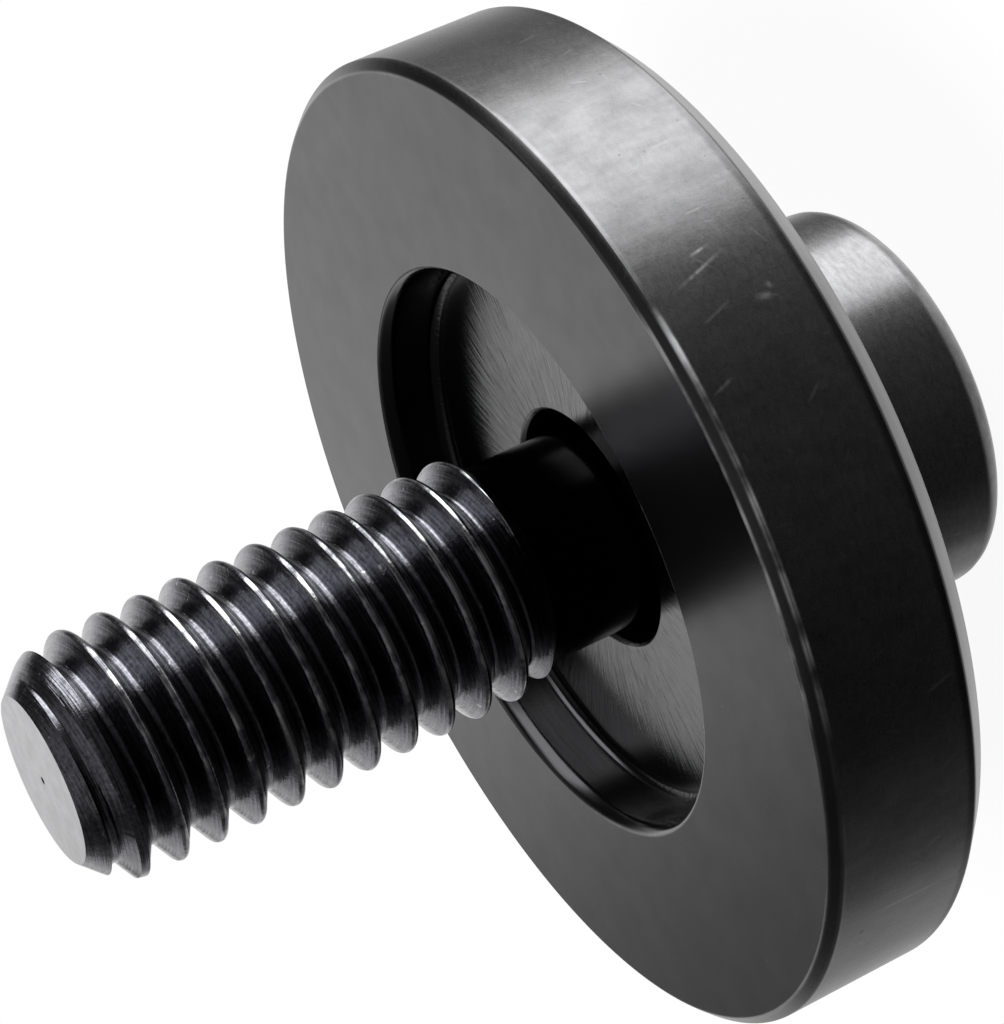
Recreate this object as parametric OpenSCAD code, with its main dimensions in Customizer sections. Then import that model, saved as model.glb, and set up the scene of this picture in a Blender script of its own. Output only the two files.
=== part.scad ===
// Locking screw: a socket head screw with a necked shank, carrying a loose thick flange
// disc whose front face is recessed around the thread. Millimetres, +Z from head to tip,
// origin at the centre of the head's flat top, on which the part stands.

/* [Thread] */
// Outer diameter of the thread
thread_d = 6; // [5:0.5:8]
// Rise of the thread in one turn
thread_pitch = 1; // [0.7:0.05:1.25]
// Length of the threaded stretch, measured from the tip
thread_l = 12.2; // [8:0.1:30]
// Bevel from the crest of the thread down to the flat end of the tip
tip_bevel = 0.9; // [0.2:0.05:1.5]

/* [Neck] */
// Step from the crest of the thread down to the plain neck
neck_step = 0.45; // [0.1:0.05:0.8]
// Length of neck that stands out of the front face of the disc
neck_out = 0.9; // [0.2:0.1:5]
// Radius of the fillet where the neck meets the head
neck_fillet = 0.3; // [0.1:0.05:0.5]

/* [Head] */
// Diameter of the head
head_d = 10; // [9:0.1:14]
// Height of the head
head_h = 6; // [4.5:0.1:10]
// Radius of the rounded edge at the head's flat top
head_edge = 0.6; // [0.2:0.05:1]
// Width across the flats of the hexagon socket
socket_af = 5; // [3:0.5:6]
// Depth of the hexagon socket
socket_depth = 3; // [2:0.1:4]
// Width of the bevel around the mouth of the socket
socket_bevel = 0.25; // [0.1:0.05:0.5]

/* [Disc] */
// Diameter of the flange disc
disc_d = 25; // [20:0.5:40]
// Thickness of the flange disc
disc_h = 4.4; // [3:0.1:5]
// Bevel of the rim towards the thread
front_bevel = 0.25; // [0.1:0.05:0.6]
// Bevel of the rim towards the head
rear_bevel = 0.6; // [0.2:0.05:1]
// Diameter of the recess in the front face
recess_d = 14.4; // [10:0.1:18]
// Depth of the recess in the front face
recess_depth = 1.6; // [0.8:0.1:2.4]
// Bevel of the mouth of the recess
recess_bevel = 0.2; // [0.05:0.05:0.4]
// Radius of the fillet between the wall and the floor of the recess
recess_fillet = 0.3; // [0.1:0.05:0.8]
// Gap all round between the thread and the hole in the disc
hole_clearance = 0.05; // [0.05:0.05:0.8]
// Bevel of both edges of the hole
hole_bevel = 0.1; // [0.05:0.05:0.3]

/* [Hidden] */

$fn = 96;
// More than any cut needs to pass through a surface
cut = 1;
// How far one shape runs into the next where two are joined into one solid
lap = thread_pitch / 8;
// Heights of the disc's seat, the disc's front face, the thread's lower end and the tip
seat_z = head_h;
face_z = seat_z + disc_h;
thread_z = face_z + neck_out;
tip_z = thread_z + thread_l;

// A 60 degree thread: crest flat 1/8 of the pitch, root flat 1/6, straight flanks between
crest_flat = thread_pitch / 8;
root_flat = thread_pitch / 6;
flank_rise = (thread_pitch - crest_flat - root_flat) / 2;
thread_depth = flank_rise * sqrt(3);
crest_r = thread_d / 2;
root_r = crest_r - thread_depth;
// One pitch of the outline, as [height, radius], from the start of a root flat
thread_outline = [
    [0, root_r],
    [root_flat, root_r],
    [root_flat + flank_rise, crest_r],
    [root_flat + flank_rise + crest_flat, crest_r]
];
// Flat steps in one turn of the thread
turn_steps = 36;

neck_r = crest_r - neck_step;
tip_r = crest_r - tip_bevel;
head_r = head_d / 2;
hole_r = crest_r + hole_clearance;
disc_r = disc_d / 2;
// The fillet at the head keeps inside the bevelled mouth of the hole that lies around it
neck_fillet_r = min(neck_fillet, hole_r + hole_bevel - neck_r - hole_clearance);

// What a bevel takes off the mouth, at z = 0, of a round hole that lies below it
module mouth_bevel(r, bevel)
{
    translate([0, 0, -bevel])
        cylinder(r1 = r, r2 = r + bevel + cut, h = bevel + cut);
}

// A round hole through z = 0 to z = h, with a bevel at each end
module bevelled_hole(r, h, bevel)
{
    translate([0, 0, -cut])
        cylinder(r = r, h = h + 2 * cut);
    mirror([0, 0, 1])
        mouth_bevel(r, bevel);
    translate([0, 0, h])
        mouth_bevel(r, bevel);
}

// The point of the thread's surface at a step round the helix and a corner of its outline
function helix_point(step, corner) =
    let (
        angle = step * 360 / turn_steps,
        z = thread_outline[corner][0] + step * thread_pitch / turn_steps,
        r = thread_outline[corner][1]
    )
    [r * cos(angle), r * sin(angle), z];

// A closed right-hand threaded rod from z = 0 upwards, with ends that still follow the helix
module threaded_rod(turns)
{
    corners = len(thread_outline);
    steps = ceil(turns * turn_steps);
    rows = steps + turn_steps;
    // The corner after the last one is the first corner of the next turn
    function at(step, corner) =
        corner < corners ? step * corners + corner : (step + turn_steps) * corners;
    points = [
        for (step = [0:rows])
            for (corner = [0:corners - 1])
                helix_point(step, corner)
    ];
    low_centre = len(points);
    high_centre = low_centre + 1;
    flanks = [
        for (step = [0:steps - 1])
            for (corner = [0:corners - 1])
                for (half = [0, 1])
                    half == 0
                        ? [at(step, corner), at(step, corner + 1), at(step + 1, corner)]
                        : [at(step + 1, corner), at(step, corner + 1), at(step + 1, corner + 1)]
    ];
    // Each end is closed by a fan over one turn of the helix and the step between its ends
    low_end = [
        for (step = [0:turn_steps - 1])
            [low_centre, at(step, 0), at(step + 1, 0)],
        for (corner = [0:corners - 1])
            [low_centre, at(0, corner + 1), at(0, corner)]
    ];
    high_end = [
        for (step = [steps:rows - 1])
            [high_centre, at(step + 1, 0), at(step, 0)],
        for (corner = [0:corners - 1])
            [high_centre, at(steps, corner), at(steps, corner + 1)]
    ];
    polyhedron(
        points = concat(points, [
            [0, 0, thread_pitch / 2],
            [0, 0, (steps / turn_steps + 0.5) * thread_pitch]
        ]),
        faces = concat(flanks, low_end, high_end)
    );
}

// The thread, turned down to the neck at its lower end and bevelled to the tip
module thread()
{
    // The rod reaches past both cuts by more than the turn that its ends take
    overrun = 1.25 * thread_pitch;
    turns = (thread_l + 2 * overrun) / thread_pitch - 1;
    intersection()
    {
        translate([0, 0, thread_z - overrun])
            threaded_rod(turns);
        // Two bevels, whose lower one starts inside the neck, and nothing that meets the crests
        rotate_extrude()
            polygon([
                [0, thread_z - lap],
                [neck_r - lap, thread_z - lap],
                [crest_r + cut, thread_z + crest_r + cut - neck_r],
                [crest_r + cut, tip_z - tip_bevel - cut],
                [tip_r, tip_z],
                [0, tip_z]
            ]);
    }
}

// Half the outline of the head, whose lower edge is rounded
module head_outline()
{
    translate([0, head_edge])
        square([head_r, head_h - head_edge]);
    square([head_r - head_edge, head_h]);
    intersection()
    {
        translate([head_r - head_edge, head_edge])
            circle(head_edge);
        square([head_r, head_h]);
    }
}

// Half the outline of the plain neck, which meets the head in a small fillet
module neck_outline()
{
    translate([0, seat_z - lap])
        square([neck_r, thread_z - seat_z + 2 * lap]);
    difference()
    {
        translate([neck_r - lap, seat_z - lap])
            square(neck_fillet_r + lap);
        translate([neck_r + neck_fillet_r, seat_z + neck_fillet_r])
            circle(neck_fillet_r);
    }
}

// Half the outline of the recess, with a fillet at its floor, which lies at y = 0
module recess_outline()
{
    recess_r = recess_d / 2;
    translate([0, recess_fillet])
        square([recess_r, recess_depth - recess_fillet + cut]);
    square([recess_r - recess_fillet, recess_depth]);
    translate([recess_r - recess_fillet, recess_fillet])
        circle(recess_fillet);
}

// The hexagon socket, cut from the head's flat top at z = 0, with a bevelled mouth
module socket_cut()
{
    corner_r = socket_af / 2 / cos(30);
    translate([0, 0, -cut])
        cylinder(r = corner_r, h = socket_depth + cut, $fn = 6);
    mirror([0, 0, 1])
        mouth_bevel(socket_af / 2, corner_r - socket_af / 2 + socket_bevel);
}

module screw()
{
    color("#1f2024")
    {
        difference()
        {
            rotate_extrude()
            {
                head_outline();
                neck_outline();
            }
            socket_cut();
        }
        thread();
    }
}

module disc()
{
    color("#3c3d40")
        translate([0, 0, seat_z])
            difference()
            {
                rotate_extrude()
                    polygon([
                        [0, 0],
                        [disc_r - rear_bevel, 0],
                        [disc_r, rear_bevel],
                        [disc_r, disc_h - front_bevel],
                        [disc_r - front_bevel, disc_h],
                        [0, disc_h]
                    ]);
                bevelled_hole(hole_r, disc_h - recess_depth, hole_bevel);
                translate([0, 0, disc_h - recess_depth])
                    rotate_extrude()
                        recess_outline();
                translate([0, 0, disc_h])
                    mouth_bevel(recess_d / 2, recess_bevel);
            }
}

screw();
disc();
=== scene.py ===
import math

import bmesh
import bpy
from mathutils import Matrix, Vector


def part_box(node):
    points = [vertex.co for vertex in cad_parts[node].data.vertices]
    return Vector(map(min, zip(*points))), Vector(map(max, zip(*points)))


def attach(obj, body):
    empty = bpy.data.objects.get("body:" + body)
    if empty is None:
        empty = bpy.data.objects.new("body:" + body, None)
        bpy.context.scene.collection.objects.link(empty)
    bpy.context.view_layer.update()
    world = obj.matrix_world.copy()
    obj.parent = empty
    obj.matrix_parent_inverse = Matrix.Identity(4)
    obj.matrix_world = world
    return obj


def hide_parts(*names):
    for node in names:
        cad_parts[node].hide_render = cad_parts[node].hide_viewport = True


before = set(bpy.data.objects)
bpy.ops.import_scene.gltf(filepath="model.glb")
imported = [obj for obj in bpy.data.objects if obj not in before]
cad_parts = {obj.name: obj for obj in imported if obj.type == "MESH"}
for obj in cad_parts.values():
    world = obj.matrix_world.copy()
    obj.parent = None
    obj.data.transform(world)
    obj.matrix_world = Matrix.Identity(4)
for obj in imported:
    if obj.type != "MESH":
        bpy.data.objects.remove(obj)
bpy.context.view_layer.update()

# A blackened steel socket head screw that carries a thick, loose flange disc.
# Lengths are in metres, and MM turns a size in millimetres into one.
MM = 0.001

disc_low, disc_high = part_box("disc")
_, screw_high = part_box("screw")

# ---- sizes ----

# Heights of the disc's seat on the head, its front face and the screw's tip, and the radii
SEAT_Z = disc_low.z
FACE_Z = disc_high.z
TIP_Z = screw_high.z
DISC_R = disc_high.x
HEAD_R = screw_high.x

FRONT_BEVEL = 0.25 * MM
REAR_BEVEL = 0.6 * MM
RECESS_R = 7.2 * MM
RECESS_DEPTH = 1.6 * MM
RECESS_BEVEL = 0.2 * MM
RECESS_FILLET = 0.3 * MM
HOLE_R = 3.05 * MM
HOLE_BEVEL = 0.1 * MM

HEAD_EDGE = 0.6 * MM
SEAT_EDGE = 0.1 * MM
SOCKET_AF = 5 * MM
SOCKET_DEPTH = 3 * MM
SOCKET_BEVEL = 0.25 * MM

CREST_R = 3 * MM
PITCH = 1 * MM
NECK_R = 2.55 * MM
NECK_FILLET = 0.3 * MM
THREAD_Z = 11.3 * MM
TIP_BEVEL = 0.9 * MM
# Towards the tip the crests are turned down a little: how far before the tip that outline
# starts to lean in, how low it is where the bevel starts, and its rounding into the bevel
TIP_LEAN = 4 * PITCH
TIP_EASE = 0.12 * MM
TIP_ROUND = 0.35 * MM
# Faces this near to the tip's height belong to its flat end
TIP_END = 0.1 * MM
# Radius and depth of the small centre mark in the tip
CENTRE_R = 0.09 * MM
# Flats at the crest and the root of the 60 degree thread, and the height of a flank
CREST_FLAT = PITCH / 8
ROOT_FLAT = PITCH / 6
FLANK_RISE = (PITCH - CREST_FLAT - ROOT_FLAT) / 2
ROOT_R = CREST_R - FLANK_RISE * math.sqrt(3)
# Where a root flat starts above the X axis, as a height from the thread's lower end
THREAD_START = -1.25 * PITCH
# Rounding of the thread's corners: root, crest, crest, root
THREAD_ROUNDS = [0.05 * MM, 0.058 * MM, 0.058 * MM, 0.05 * MM]

# Steps in one turn of a turned surface and of the thread
TURN_STEPS = 256
THREAD_STEPS = 144
# Steps in the rounding of an outline's corner and of the thread's
ROUND_STEPS = 6
THREAD_ROUND_STEPS = 3
# More than a cut needs to pass through a surface
CUT = 1 * MM
# Vertices closer together than this are merged
MERGE = 1e-7
# Vertices closer to a cutting plane than this lie on it
ON_PLANE = 1e-8
# Edges that turn by more than this angle, in radians, stay crisp
SHARP_ANGLE = 0.6


# ---- shapes ----

def new_piece(name, bm):
    """The finished mesh as an object of the scene."""
    mesh = bpy.data.meshes.new(name)
    bm.to_mesh(mesh)
    bm.free()
    piece = bpy.data.objects.new(name, mesh)
    bpy.context.scene.collection.objects.link(piece)
    return piece


def round_corner(bm, vert, radius, steps):
    bmesh.ops.bevel(
        bm, geom=[vert], offset=radius, offset_type="OFFSET", segments=steps, profile=0.5,
        affect="VERTICES", material=-1,
    )


def turned(points, rounded=None):
    """A closed outline of (radius, height) points, swung once round the Z axis into a solid.

    Rounded gives the radius of some of its corners, by their place in the list."""
    bm = bmesh.new()
    verts = [bm.verts.new((r, 0, z)) for r, z in points]
    for pair in zip(verts, verts[1:] + verts[:1]):
        bm.edges.new(pair)
    for index, radius in (rounded or {}).items():
        round_corner(bm, verts[index], radius, ROUND_STEPS)
    bmesh.ops.spin(
        bm, geom=bm.verts[:] + bm.edges[:], cent=(0, 0, 0), axis=(0, 0, 1), dvec=(0, 0, 0),
        angle=math.tau, steps=TURN_STEPS, use_merge=True,
    )
    bmesh.ops.remove_doubles(bm, verts=bm.verts, dist=MERGE)
    bmesh.ops.recalc_face_normals(bm, faces=bm.faces)
    return bm


def threaded_rod(low, high):
    """A right-hand thread between two heights, closed by a flat face at each end."""
    bm = bmesh.new()
    start = THREAD_Z + THREAD_START
    half_root = ROOT_FLAT / 2
    corners = [
        (ROOT_R, 0),
        (ROOT_R, half_root),
        (CREST_R, half_root + FLANK_RISE),
        (CREST_R, half_root + FLANK_RISE + CREST_FLAT),
        (ROOT_R, PITCH - half_root),
        (ROOT_R, PITCH),
    ]
    # From the middle of one root flat to the middle of the next, starting one pitch early
    verts = [bm.verts.new((r, 0, start + half_root - PITCH + z)) for r, z in corners]
    for pair in zip(verts, verts[1:]):
        bm.edges.new(pair)
    for vert, radius in zip(verts[1:-1], THREAD_ROUNDS):
        round_corner(bm, vert, radius, THREAD_ROUND_STEPS)
    bmesh.ops.spin(
        bm, geom=bm.verts[:] + bm.edges[:], cent=(0, 0, 0), axis=(0, 0, 1),
        dvec=(0, 0, PITCH / THREAD_STEPS), angle=math.tau, steps=THREAD_STEPS, use_merge=False,
    )
    one_turn = bm.verts[:] + bm.edges[:] + bm.faces[:]
    # Enough turns to reach past both heights all the way round
    turns = math.ceil((high - low) / PITCH) + 3
    for turn in range(1, turns):
        copy = bmesh.ops.duplicate(bm, geom=one_turn)["geom"]
        verts = [item for item in copy if isinstance(item, bmesh.types.BMVert)]
        bmesh.ops.translate(bm, verts=verts, vec=(0, 0, turn * PITCH))
    bmesh.ops.remove_doubles(bm, verts=bm.verts, dist=MERGE)
    for height, side in ((low, -1), (high, 1)):
        bmesh.ops.bisect_plane(
            bm, geom=bm.verts[:] + bm.edges[:] + bm.faces[:], dist=ON_PLANE,
            plane_co=(0, 0, height), plane_no=(0, 0, side), clear_outer=True,
        )
    open_edges = [edge for edge in bm.edges if edge.is_boundary]
    bmesh.ops.holes_fill(bm, edges=open_edges, sides=0)
    bmesh.ops.recalc_face_normals(bm, faces=bm.faces)
    return bm


def combined(piece, tool, operation):
    """The piece after a tool is joined to it or cut from it; the tool is used up."""
    modifier = piece.modifiers.new("tool", "BOOLEAN")
    modifier.object = tool
    modifier.operation = operation
    modifier.solver = "MANIFOLD"
    depsgraph = bpy.context.evaluated_depsgraph_get()
    mesh = bpy.data.meshes.new_from_object(piece.evaluated_get(depsgraph))
    piece.modifiers.remove(modifier)
    old = piece.data
    piece.data = mesh
    mesh.name = piece.name
    bpy.data.meshes.remove(old)
    bpy.data.objects.remove(tool)
    return piece


def shade(piece):
    """Smooth shading, with the sharp edges left crisp."""
    piece.data.materials.clear()
    bm = bmesh.new()
    bm.from_mesh(piece.data)
    bmesh.ops.remove_doubles(bm, verts=bm.verts, dist=MERGE)
    # Faces with many corners are split evenly, so that no thin part of them folds over
    many_sided = [face for face in bm.faces if len(face.verts) > 4]
    bmesh.ops.triangulate(bm, faces=many_sided, ngon_method="BEAUTY")
    for face in bm.faces:
        face.smooth = True
    for edge in bm.edges:
        edge.smooth = len(edge.link_faces) == 2 and edge.calc_face_angle(0) < SHARP_ANGLE
    bm.to_mesh(piece.data)
    bm.free()
    # Large flats stay flat to the light right up to their rounded edges
    normals = piece.modifiers.new("normals", "WEIGHTED_NORMAL")
    normals.keep_sharp = True


def make_disc():
    floor_z = FACE_Z - RECESS_DEPTH
    points = [
        (HOLE_R + HOLE_BEVEL, SEAT_Z),
        (DISC_R - REAR_BEVEL, SEAT_Z),
        (DISC_R, SEAT_Z + REAR_BEVEL),
        (DISC_R, FACE_Z - FRONT_BEVEL),
        (DISC_R - FRONT_BEVEL, FACE_Z),
        (RECESS_R + RECESS_BEVEL, FACE_Z),
        (RECESS_R, FACE_Z - RECESS_BEVEL),
        (RECESS_R, floor_z),
        (HOLE_R + HOLE_BEVEL, floor_z),
        (HOLE_R, floor_z - HOLE_BEVEL),
        (HOLE_R, SEAT_Z + HOLE_BEVEL),
    ]
    # In millimetres
    rounded = {1: 0.06, 2: 0.05, 3: 0.03, 4: 0.05, 5: 0.04, 6: 0.22, 8: 0.03, 9: 0.03}
    rounded = {index: radius * MM for index, radius in rounded.items()}
    bm = turned(points, rounded | {7: RECESS_FILLET})
    return new_piece("disc_body", bm)


def make_blank():
    """The head and the plain neck as one turned piece."""
    points = [
        (0, 0),
        (HEAD_R, 0),
        (HEAD_R, SEAT_Z),
        (NECK_R, SEAT_Z),
        (NECK_R, THREAD_Z),
        (0, THREAD_Z),
    ]
    rounded = {1: HEAD_EDGE, 2: SEAT_EDGE, 3: NECK_FILLET}
    return new_piece("screw_body", turned(points, rounded))


def make_socket_tool():
    """A hexagon bar and the bevel round its mouth."""
    bm = bmesh.new()
    corner_r = SOCKET_AF / 2 / math.cos(math.pi / 6)
    depth = SOCKET_DEPTH + CUT
    bmesh.ops.create_cone(
        bm, cap_ends=True, segments=6, radius1=corner_r, radius2=corner_r, depth=depth,
        matrix=Matrix.Translation((0, 0, SOCKET_DEPTH - depth / 2)),
    )
    bar = new_piece("socket_bar", bm)
    mouth_r = corner_r + SOCKET_BEVEL
    bevel = turned([
        (0, -CUT),
        (mouth_r + CUT, -CUT),
        (SOCKET_AF / 2, mouth_r - SOCKET_AF / 2),
        (0, mouth_r - SOCKET_AF / 2),
    ])
    return combined(bar, new_piece("socket_bevel", bevel), "UNION")


def make_thread():
    """The thread, turned down to the neck at its lower end and bevelled to the tip."""
    lap = PITCH / 8
    clear = 0.5 * MM
    rod = new_piece("thread_rod", threaded_rod(THREAD_Z - PITCH, TIP_Z + PITCH))
    # It starts a lap inside the neck, and clears the crests until it leans in to the tip
    envelope = turned([
        (0, THREAD_Z - lap),
        (NECK_R - lap, THREAD_Z - lap),
        (CREST_R + clear, THREAD_Z + CREST_R + clear - NECK_R),
        (CREST_R + clear, TIP_Z - TIP_LEAN),
        (CREST_R - TIP_EASE, TIP_Z - TIP_BEVEL + TIP_EASE),
        (CREST_R - TIP_BEVEL, TIP_Z),
        (CENTRE_R, TIP_Z),
        (0, TIP_Z - CENTRE_R),
    ], {4: TIP_ROUND})
    return combined(rod, new_piece("thread_envelope", envelope), "INTERSECT")


def make_screw():
    screw = combined(make_blank(), make_thread(), "UNION")
    return combined(screw, make_socket_tool(), "DIFFERENCE")


# ---- shader helpers ----

class Wire:
    """An output in a shader, whose arithmetic adds Math nodes."""

    def __init__(self, nodes, socket):
        self.nodes = nodes
        self.socket = socket

    def also(self, output):
        """Another output of the same node."""
        return Wire(self.nodes, self.socket.node.outputs[output])

    def math(self, operation, *others):
        return self.nodes.add("Math", {"operation": operation}, dict(enumerate((self, *others))))

    def __add__(self, other):
        return self.math("ADD", other)

    def __sub__(self, other):
        return self.math("SUBTRACT", other)

    def __rsub__(self, other):
        return self.nodes.add("Math", {"operation": "SUBTRACT"}, {0: other, 1: self})

    def __mul__(self, other):
        return self.math("MULTIPLY", other)

    def __truediv__(self, other):
        return self.math("DIVIDE", other)

    __radd__ = __add__


class Nodes:
    """The nodes of one material or world, cleared and ready to be filled."""

    def __init__(self, owner):
        owner.use_nodes = True
        self.tree = owner.node_tree
        self.tree.nodes.clear()

    def add(self, kind, settings=None, values=None, output=0):
        """A node with its settings, then the values or wires of its sockets."""
        node = self.tree.nodes.new("ShaderNode" + kind)
        for name, setting in (settings or {}).items():
            if name == "stops":
                self.set_stops(node.color_ramp, setting)
            else:
                setattr(node, name, setting)
        for key, value in (values or {}).items():
            if isinstance(value, Wire):
                self.tree.links.new(value.socket, node.inputs[key])
            else:
                node.inputs[key].default_value = value
        return Wire(self, node.outputs[output]) if node.outputs else None

    @staticmethod
    def set_stops(ramp, stops):
        while len(ramp.elements) < len(stops):
            ramp.elements.new(1)
        for element, (position, level) in zip(ramp.elements, stops):
            element.position = position
            element.color = (level, level, level, 1)

    def apart(self, vector):
        """The three parts of a vector."""
        x = self.add("SeparateXYZ", None, {0: vector})
        return x, x.also(1), x.also(2)

    def vector(self, x, y, z):
        return self.add("CombineXYZ", None, {0: x, 1: y, 2: z})

    def fade(self, value, low, high, start=0, end=1):
        """From start to end, smoothly, as the value goes from low to high."""
        return self.add(
            "MapRange", {"interpolation_type": "SMOOTHSTEP"},
            {"Value": value, "From Min": low, "From Max": high, "To Min": start, "To Max": end},
        )

    def noise(self, vector, scale, detail=2, roughness=0.5):
        return self.add(
            "TexNoise", None,
            {"Vector": vector, "Scale": scale, "Detail": detail, "Roughness": roughness},
        )

    def blend(self, factor, first, second):
        """One colour fading into another."""
        return self.add("Mix", {"data_type": "RGBA"}, {0: factor, 6: first, 7: second}, output=2)

    def finish(self, kind, shader):
        self.add(kind, None, {0: shader})


# ---- finishes ----

# The side of the part, as an angle round the axis, where handling has worn it most
WORN_SIDE = math.radians(-20)
# Single marks on the disc's rim: degrees from the worn side, and in millimetres the distance
# behind the front face, the length and the width; then the lean from the rim's direction
MARKS = [
    (13.5, 2.6, 0.55, 0.14, 75),
    (14.3, 2.85, 0.3, 0.1, 20),
    (18.5, 1.6, 1.9, 0.07, 108),
    (20.5, 1.9, 0.8, 0.06, 100),
    (7, 0.8, 0.7, 0.07, 110),
    (-57, 2.2, 3, 0.08, 88),
]


class Steel(Nodes):
    """A turned steel finish, whose patterns are laid out in millimetres round the Z axis."""

    def __init__(self, name, radius):
        self.material = bpy.data.materials.new(name)
        super().__init__(self.material)
        place = self.add("TexCoord", output="Object")
        self.mm = self.add("VectorMath", {"operation": "SCALE"}, {"Vector": place, "Scale": 1 / MM})
        self.x, self.y, self.z = self.apart(self.mm)
        self.r = (self.x * self.x + self.y * self.y).math("SQRT")
        self.across = self.x / self.r
        self.along = self.y / self.r
        # The surface unrolled: round the axis, and along the outline from the middle to the rear
        self.angle = self.y.math("ARCTAN2", self.x)
        self.round = self.angle * radius
        self.down = self.r - self.z

    def turning(self, fineness, spread):
        """Fine rings round the axis, that fade in and out along their length."""
        rings = self.vector((self.r + self.z) * fineness, self.across * spread, self.along * spread)
        return self.noise(rings, 1)

    def band(self, value, low, high, soft):
        """1 between two limits, fading to 0 over the soft width outside them."""
        rise = self.fade(value, low - soft, low)
        return rise * self.fade(value, high + soft, high)

    def edge(self, r, z, reach):
        """1 on a turned edge, fading to 0 at its reach."""
        dr = self.r - r / MM
        dz = self.z - z / MM
        return self.fade((dr * dr + dz * dz).math("SQRT"), reach, reach * 0.3)

    def patches(self, scale, low, high):
        """Soft-edged patches: 0 where the noise is low, 1 where it is high."""
        return self.fade(self.noise(self.mm, scale, 3), low, high)

    def scratches(self, size, share, width, length, lean=0, spread=math.pi, shift=0):
        """Short straight scratches, at most one in each cell of a random pattern."""
        place = self.vector(self.round / size + shift, self.down / size, 0)
        cells = {"voronoi_dimensions": "2D", "feature": "F1"}
        distance = self.add("TexVoronoi", cells, {"Vector": place, "Scale": 1, "Randomness": 1})
        offset = self.add(
            "VectorMath", {"operation": "SUBTRACT"}, {0: place, 1: distance.also("Position")}
        )
        x, y, _ = self.apart(offset)
        turn, long, seen = self.apart(distance.also("Color"))
        turn = turn * spread + lean
        cosine = turn.math("COSINE")
        sine = turn.math("SINE")
        beside = (y * cosine - x * sine).math("ABSOLUTE")
        ahead = (x * cosine + y * sine).math("ABSOLUTE")
        half = (long * 0.7 + 0.3) * length
        line = self.fade(beside, width / size, width / size * 0.3)
        return line * self.fade(ahead - half, 0, -0.1) * self.fade(seen, 1 - share, 1.01 - share)

    def mark(self, around, height, length, width, lean):
        """A single straight mark on a turned surface, 1 along its middle."""
        x = self.round - around
        y = self.z - height
        ahead = (x * math.cos(lean) + y * math.sin(lean)).math("ABSOLUTE")
        beside = (y * math.cos(lean) - x * math.sin(lean)).math("ABSOLUTE")
        return self.fade(beside, width, 0) * self.fade(ahead, length / 2, 0)

    def surface(self, colour, roughness, height, depth):
        normal = self.add("Bump", None, {"Strength": 1, "Distance": depth * MM, "Height": height})
        shader = self.add("BsdfPrincipled", None, {
            "Base Color": colour, "Metallic": 1, "Roughness": roughness, "Normal": normal,
        })
        self.finish("OutputMaterial", shader)
        return self.material


def grey(level, blue=0.02):
    return (level, level, level * (1 + blue), 1)


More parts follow.
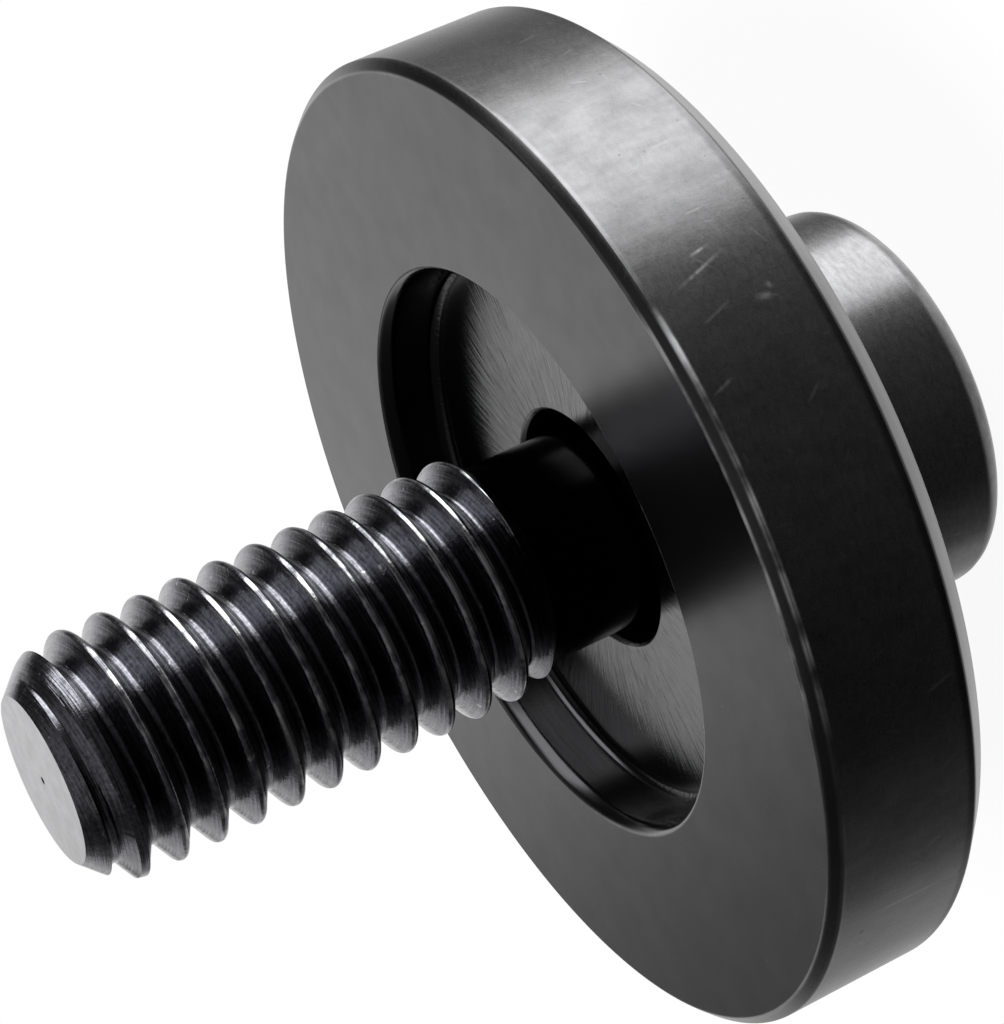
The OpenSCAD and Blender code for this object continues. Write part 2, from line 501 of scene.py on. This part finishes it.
def disc_finish():
    """Blackened turned steel, worn bright along its edges, with painted shade darkening the
    recess's wall and the disc's bevels, and painted light on the recess's floor.
    """
    steel = Steel("disc steel", DISC_R / MM)
    floor_z = (FACE_Z - RECESS_DEPTH) / MM
    face_z = FACE_Z / MM
    recess_r = RECESS_R / MM

    # Masks of the recess's wall, of the rim and of the recess's floor
    wall = steel.band(steel.r, recess_r - 0.2, recess_r + RECESS_BEVEL / MM, 0.1)
    wall = wall * steel.fade(steel.z, face_z - 0.01, face_z - 0.08)
    wall = wall * steel.fade(steel.z, floor_z - 0.1, floor_z)
    rim = steel.fade(steel.r, DISC_R / MM - 0.2, DISC_R / MM - 0.05)
    floor = steel.band(steel.z, floor_z - 0.1, floor_z + 0.05, 0.1)
    floor = floor * steel.fade(steel.r, recess_r + 0.1, recess_r)

    # Grain: broad blotches, and on the rim short slanted rubs and a soft mottle
    blotch = steel.noise(steel.mm, 1.1, 3)
    slanted = steel.vector(
        steel.round * 3.4 + steel.down * 2.4, steel.down * 7 - steel.round * 2, 0
    )
    rubbed = steel.noise(slanted, 1, 3, 0.6)
    mottle = steel.noise(steel.vector(steel.round * 3.6, steel.down * 1.2, 0), 1, 2)
    sparkle = steel.noise(steel.mm, 16, 1)
    rings = steel.turning(16, 4)
    grooves = steel.turning(5, 3) * wall
    streaks = steel.noise(
        steel.vector(steel.across * 55, steel.along * 55, steel.r * 0.7), 1, 2
    )
    scratched = steel.scratches(1.9, 0.45, 0.05, 0.26, lean=0.9, spread=1.2)
    scratched = scratched.math("MAXIMUM", steel.scratches(1.1, 0.3, 0.04, 0.3, shift=7) * 0.6)
    scratched = scratched * (rim * 0.7 + 0.3)
    specks = steel.fade(steel.noise(steel.mm, 4.5, 1), 0.25, 0.17) * rim

    marked = 0
    for degrees, behind, length, width, lean in MARKS:
        around = (WORN_SIDE + math.radians(degrees)) * DISC_R / MM
        marked = marked + steel.mark(around, face_z - behind, length, width, math.radians(lean))
    marked = marked * rim * (rubbed * 1.6 - 0.2)

    # Edges rubbed bright, most of all on the side that a hand meets first
    side = steel.angle - WORN_SIDE
    handled = steel.band(side, -0.35, 0.2, 0.2)
    rubbing = steel.patches(0.9, 0.3, 0.7) * (handled * 0.9 + 0.1)
    worn = steel.edge(DISC_R, FACE_Z - FRONT_BEVEL, 0.12)
    worn = worn.math("MAXIMUM", steel.edge(DISC_R - FRONT_BEVEL, FACE_Z, 0.09))
    worn = worn.math("MAXIMUM", steel.edge(RECESS_R + RECESS_BEVEL, FACE_Z, 0.07))
    worn = worn * rubbing
    # Painted shade: the front bevel and the rear bevel's edges are darkened, on one side of the
    # part the dark spreads over the rear bevel, and it is left off the worn edges
    edge_shade = steel.edge(DISC_R, SEAT_Z + REAR_BEVEL + 0.07 * MM, 0.2)
    beyond = steel.fade(side, 0.3, 0.7)
    edge_shade = edge_shade * (1 - beyond * 0.7)
    edge_shade = edge_shade.math("MAXIMUM", steel.edge(DISC_R - REAR_BEVEL, SEAT_Z, 0.22))
    edge_shade = edge_shade.math("MAXIMUM", steel.edge(DISC_R - REAR_BEVEL, SEAT_Z, 0.7) * beyond)
    front = steel.edge(DISC_R - FRONT_BEVEL / 2, FACE_Z - FRONT_BEVEL / 2, 0.21)
    edge_shade = edge_shade.math("MAXIMUM", front) * (1 - worn)

    tone = (blotch - 0.5) * 0.8 + (rubbed + mottle - 1) * 0.5 * rim + (sparkle - 0.5) * 0.2
    colour = steel.blend(tone + 0.5, grey(0.06), grey(0.13))
    colour = steel.blend(scratched * 0.22, colour, grey(0.2))
    colour = steel.blend(marked * 0.5, colour, grey(0.4))
    colour = steel.blend(worn * 0.9, colour, grey(0.6))
    colour = steel.blend(specks * 0.5, colour, grey(0.03))
    # Painted shade on the disc's bevels, blended in nearly black
    colour = steel.blend(edge_shade * 0.7, colour, grey(0.02))
    # Painted light: the recess's floor is lightened so that it looks as lit as the front face,
    # although it lies down in the recess
    colour = steel.blend(floor * 0.6, colour, grey(0.13))
    # Painted shade: the recess's wall is darkened nearly to black, where shade falls in the recess
    colour = steel.blend(wall, colour, grey(0.025, 0.05))
    roughness = 0.23 + rubbed * rim * 0.05 + sparkle * 0.04 + scratched * 0.06 + specks * 0.1
    roughness = roughness - (wall + floor) * 0.08 + worn * 0.25 + marked * 0.1
    height = rings * 0.4 + sparkle * 0.4 + (rubbed + mottle) * rim * 0.9 + streaks * floor * 6
    height = height + grooves * 4 - scratched * 0.5 - marked - specks
    return steel.surface(colour, roughness, height, 0.0016)


def cut_finish():
    """The screw's flat end, left bright by the cut, with a dark centre mark."""
    steel = Steel("cut steel", CREST_R / MM)
    blotch = steel.noise(steel.mm, 2.5, 3)
    sparkle = steel.noise(steel.mm, 16, 1)
    rings = steel.turning(18, 2)
    middle = steel.fade(steel.r, 0.12, 0.07)
    tone = blotch * 0.6 + sparkle * 0.4
    colour = steel.blend((tone - 0.5) * 2 + 0.5, grey(0.62), grey(0.86))
    colour = steel.blend(middle, colour, grey(0.02))
    return steel.surface(colour, 0.36 + sparkle * 0.1, rings + sparkle, 0.0015)


def screw_finish():
    """Blackened steel: satin on the head, shinier and grained on the thread, with painted shade
    darkening the neck.
    """
    steel = Steel("screw steel", CREST_R / MM)
    # Where the thread lies, and how far along one pitch of it
    thread_z = THREAD_Z / MM
    threaded = steel.fade(steel.z, thread_z - 0.1, thread_z + 0.2)
    head = steel.fade(steel.z, SEAT_Z / MM + 0.05, SEAT_Z / MM - 0.05)
    neck = steel.fade(steel.z, thread_z + 0.5, thread_z) * (1 - head)
    phase = (steel.z - (THREAD_Z + THREAD_START) / MM) / (PITCH / MM) - steel.angle / math.tau
    phase = phase.math("FRACT")
    tool = steel.noise(steel.vector(phase * 24, steel.across * 2, steel.along * 2), 1, 1)

    blotch = steel.noise(steel.mm, 1.6, 3)
    grain = steel.noise(steel.mm, 9, 3, 0.65)
    sparkle = steel.noise(steel.mm, 17, 1)
    slanted = steel.vector(steel.round * 5 + steel.down * 3, steel.down * 8 - steel.round * 2, 0)
    rubbed = steel.noise(slanted, 1, 3)
    scratched = steel.scratches(1.5, 0.4, 0.035, 0.26, shift=3) * head
    nicks = steel.fade(steel.noise(steel.mm, 3.4, 2), 0.7, 0.76) * threaded

    # The crests and the head's edge are rubbed bright in places
    rubbing = steel.patches(1.7, 0.42, 0.62)
    crest = steel.fade(steel.r, CREST_R / MM - 0.07, CREST_R / MM - 0.01) * threaded
    worn = (crest * 0.9).math("MAXIMUM", steel.edge(HEAD_R, 0.25 * HEAD_EDGE, 0.3) * 0.25)
    worn = worn * rubbing

    tone = (blotch - 0.5) * 0.6 + (sparkle - 0.5) * 0.5
    tone = tone + (grain + tool - 1) * 1.6 * threaded + (rubbed - 0.5) * 1.2 * head + 0.5
    dark = steel.blend(tone, grey(0.04, 0.12), grey(0.16, 0.12))
    light = steel.blend(tone, grey(0.08), grey(0.15))
    colour = steel.blend(head, dark, light)
    colour = steel.blend(scratched * 0.3, colour, grey(0.2))
    colour = steel.blend(nicks * 0.7, colour, grey(0.4))
    colour = steel.blend(worn, colour, grey(0.33))
    # Painted shade: the neck, down in the disc's hole and recess, is darkened nearly to black
    colour = steel.blend(neck, colour, grey(0.012))
    roughness = 0.14 + (grain * 0.1 - 0.05) * threaded + sparkle * 0.05 + head * 0.11
    height = (tool * 6 + grain * 2.5) * threaded + sparkle * 0.5 + rubbed * head * 0.6
    height = height - scratched * 0.7 - nicks
    return steel.surface(colour, roughness, height, 0.0016)


# ---- camera, floor and light ----

CAMERA_AZIMUTH = math.radians(-20)
CAMERA_OUT = 79.78 * MM
CAMERA_UP = 30.014 * MM
CAMERA_YAW = math.radians(-0.887)
CAMERA_PITCH = math.radians(-20.454)
CAMERA_ROLL = math.radians(-114.468)
CAMERA_LENS = 124.75

# Distances from the axis between which the floor turns white, and how white it is near the part
FLOOR_NEAR = 30 * MM
FLOOR_FAR = 120 * MM
FLOOR_WHITE = 0.93


def make_camera():
    data = bpy.data.cameras.new("camera")
    camera = bpy.data.objects.new("camera", data)
    bpy.context.scene.collection.objects.link(camera)
    bpy.context.scene.camera = camera
    data.sensor_width = 36
    data.lens = CAMERA_LENS
    data.clip_start = 1 * MM
    data.clip_end = 10
    # Out along X, looking back along it with Z up, then rolled, and all turned to the azimuth
    look = Matrix.Rotation(math.pi / 2, 4, "Z") @ Matrix.Rotation(math.pi / 2, 4, "X")
    turn = Matrix.Rotation(CAMERA_AZIMUTH, 4, "Z")
    place = Matrix.Translation((CAMERA_OUT, 0, FACE_Z + CAMERA_UP))
    yaw = Matrix.Rotation(CAMERA_YAW, 4, "Z")
    pitch = Matrix.Rotation(CAMERA_PITCH, 4, "X")
    roll = Matrix.Rotation(CAMERA_ROLL, 4, "Z")
    camera.matrix_world = turn @ place @ yaw @ look @ pitch @ roll


def make_floor():
    """A pale floor that takes the part's shadow, and that the steel doesn't mirror."""
    bm = bmesh.new()
    bmesh.ops.create_grid(bm, x_segments=1, y_segments=1, size=3)
    floor = new_piece("floor", bm)
    material = bpy.data.materials.new("pale floor")
    nodes = Nodes(material)
    paper = nodes.add("BsdfDiffuse", None, {"Color": (0.95, 0.95, 0.95, 1)})
    glow = nodes.add("Emission", None, {"Color": (1, 1, 1, 1), "Strength": 1})
    seen = nodes.add("LightPath", output="Is Camera Ray")
    # The camera sees it white away from the part, so that it has no edge against the background
    place = nodes.add("TexCoord", output="Object")
    away = nodes.add("VectorMath", {"operation": "LENGTH"}, {0: place}, output=1)
    share = seen * nodes.fade(away, FLOOR_NEAR, FLOOR_FAR, FLOOR_WHITE, 1)
    nodes.finish("OutputMaterial", nodes.add("MixShader", None, {0: share, 1: paper, 2: glow}))
    floor.data.materials.append(material)
    floor.visible_glossy = False
    floor.visible_shadow = False


# The studio's brightness by direction round the part, in degrees from the camera: a tall soft
# panel to one side, pale boards and grey walls behind, and a dark room on the camera's side
PANEL = 6.4
LOWER_WALLS = [
    (0, 0.06), (18, 0.09), (48, 0.24), (60.5, PANEL), (97, PANEL), (105, 0.9), (120, 0.42),
    (135, 0.25), (148, 0.6), (162, 0.95), (178, 1.1), (190, 0.9), (203, 0.75), (216, 0.52),
    (240, 0.72), (249, 0.2), (268, 0.15), (288, 0.02), (325, 0.02), (345, 0.05), (360, 0.06),
]
UPPER_WALLS = [
    (0, 0.09), (46, 0.18), (58, PANEL), (97, PANEL), (105, 0.4), (114, 0.08), (138, 0.08),
    (149, 0.9), (156, 1.3), (162, 1.3), (169, 0.93), (174, 0.86), (178, 1), (181.5, 0.86),
    (184, 0.5), (186.5, 0.28), (189, 0.16), (192, 0.2), (199, 1), (212, 1), (222, 0.25),
    (240, 0.13), (300, 0.08), (360, 0.09),
]
# The ceiling's brightness above the walls, and how much it gains overhead
CEILING = 0.1
CEILING_GAIN = 0.35
# The ground's brightness, and how much it gains towards the panel's side
GROUND = 1
GROUND_GAIN = 1.8


def make_world():
    """The studio in the steel's reflections; the camera itself sees white."""
    world = bpy.data.worlds.new("studio")
    nodes = Nodes(world)
    x, y, z = nodes.apart(nodes.add("TexCoord", output="Generated"))

    def rise(start, end):
        """From 0 to 1 between two directions, in degrees above the level."""
        return nodes.fade(z, math.sin(math.radians(start)), math.sin(math.radians(end)))

    # Turned so that the angle starts and ends at the camera
    back = CAMERA_AZIMUTH + math.pi
    ahead = x * math.cos(back) + y * math.sin(back)
    aside = y * math.cos(back) - x * math.sin(back)
    turn = aside.math("ARCTAN2", ahead) / math.tau + 0.5
    lower, upper = (
        nodes.add("ValToRGB", {"stops": [(place / 360, level / PANEL) for place, level in walls]},
                  {0: turn}) * PANEL
        for walls in (LOWER_WALLS, UPPER_WALLS)
    )
    above = rise(-6, 4)
    walls = lower * (1 - above) + upper * above
    high = rise(29, 44)
    low = rise(-36, -50)
    ceiling = rise(50, 72) * CEILING_GAIN + CEILING
    ground = aside.math("MINIMUM", 0) * -GROUND_GAIN + GROUND
    level = walls * (1 - high) * (1 - low) + high * ceiling + low * ground
    seen = nodes.add("LightPath", output="Is Camera Ray")
    level = level * (1 - seen) + seen
    light = nodes.add("Background", None, {"Color": (1, 1, 1, 1), "Strength": level})
    nodes.finish("OutputWorld", light)
    bpy.context.scene.world = world


def make_lamp():
    """A broad lamp overhead, which lights the floor and gives the part its shadow."""
    data = bpy.data.lights.new("overhead", "AREA")
    data.shape = "DISK"
    data.size = 0.5
    data.energy = 3.4
    lamp = bpy.data.objects.new("overhead", data)
    lamp.location = (0, 0, 0.6)
    lamp.visible_camera = False
    lamp.visible_glossy = False
    bpy.context.scene.collection.objects.link(lamp)


disc = make_disc()
screw = make_screw()
for piece in (disc, screw):
    shade(piece)
disc.data.materials.append(disc_finish())
screw.data.materials.append(screw_finish())
screw.data.materials.append(cut_finish())
for face in screw.data.polygons:
    if face.center.z > TIP_Z - TIP_END and face.center.xy.length < CREST_R - TIP_BEVEL:
        face.material_index = 1
for piece, node in ((disc, "disc"), (screw, "screw")):
    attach(piece, "root")
    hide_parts(node)

make_floor()
make_world()
make_lamp()
make_camera()
bpy.context.scene.view_settings.view_transform = "Standard"
